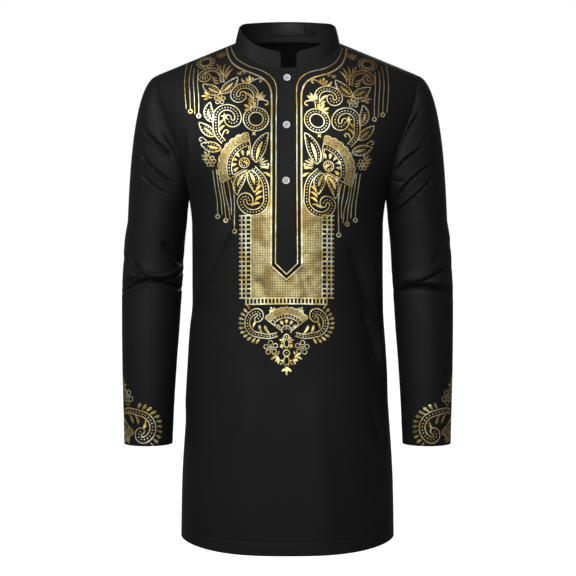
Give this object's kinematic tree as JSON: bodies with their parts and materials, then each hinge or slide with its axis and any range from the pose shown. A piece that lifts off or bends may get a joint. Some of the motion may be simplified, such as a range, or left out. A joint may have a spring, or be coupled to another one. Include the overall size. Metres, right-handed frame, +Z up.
{
  "type": "dashiki shirt",
  "caption": "Long-sleeved thigh-length pullover shirt with a stand collar and a pointed half placket, held in its worn, hollow shape.",
  "frame": {"origin": "middle of the neck opening, level with the two points where the shoulder seams meet the collar", "axes": "+Z up, +X towards the wearer's left sleeve, the front of the shirt faces -Y"},
  "size_m": [0.5629, 0.251, 0.8901],
  "materials": {
    "cloth": "smooth black woven cloth, semi-matt",
    "button": "glossy white",
    "label": "black satin tape"
  },
  "bodies": {
    "root": {"front": "cloth", "back": "cloth", "sleeve_left": "cloth", "sleeve_right": "cloth", "collar": "cloth", "placket": "cloth", "under_placket": "cloth", "button_1": "button", "button_2": "button", "button_3": "button", "neck_label": "label", "size_tab": "label"}
  },
  "joints": []
}
